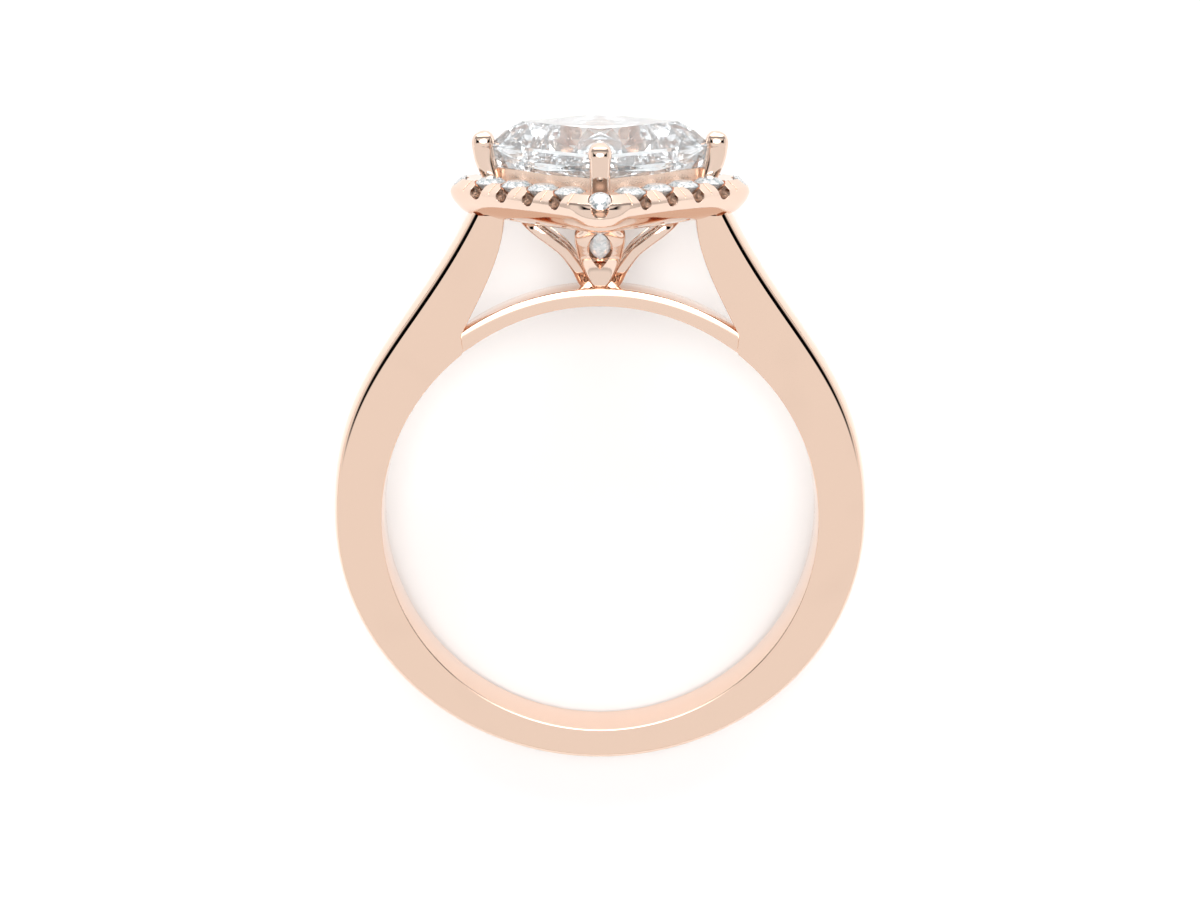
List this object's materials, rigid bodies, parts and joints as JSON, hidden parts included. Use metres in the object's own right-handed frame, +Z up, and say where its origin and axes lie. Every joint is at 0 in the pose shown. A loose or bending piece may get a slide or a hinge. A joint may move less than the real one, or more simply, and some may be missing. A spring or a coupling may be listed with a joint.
{
  "type": "halo ring",
  "caption": "Finger ring with a square centre stone set corner to corner in four prongs, a square halo of small round stones, petal-shaped arms and cathedral shoulders.",
  "frame": {"origin": "centre of the finger hole, halfway across the band", "axes": "The ring lies on its side as on a table: +Z up, +Y from the finger hole towards the head, +X to the right when the head points away. The finger hole's axis leans 11.8 degrees from +Z towards -Y, because the halo's back corner and the band's base edge are what the ring lies on."},
  "size_m": [0.0202, 0.0248, 0.0108],
  "materials": {
    "rose_gold": "polished rose gold",
    "centre_diamond": "polished colourless cut stone",
    "small_diamond": "polished colourless cut stone"
  },
  "bodies": {
    "root": {"mounting": "rose_gold", "center_stone": "centre_diamond", "halo_stone_01": "small_diamond", "halo_stone_02": "small_diamond", "halo_stone_03": "small_diamond", "halo_stone_04": "small_diamond", "halo_stone_05": "small_diamond", "halo_stone_06": "small_diamond", "halo_stone_07": "small_diamond", "halo_stone_08": "small_diamond", "halo_stone_09": "small_diamond", "halo_stone_10": "small_diamond", "halo_stone_11": "small_diamond", "halo_stone_12": "small_diamond", "halo_stone_13": "small_diamond", "halo_stone_14": "small_diamond", "halo_stone_15": "small_diamond", "halo_stone_16": "small_diamond", "halo_stone_17": "small_diamond", "halo_stone_18": "small_diamond", "halo_stone_19": "small_diamond", "halo_stone_20": "small_diamond", "petal_stone_1": "small_diamond", "petal_stone_2": "small_diamond", "petal_stone_3": "small_diamond", "petal_stone_4": "small_diamond"}
  },
  "joints": []
}
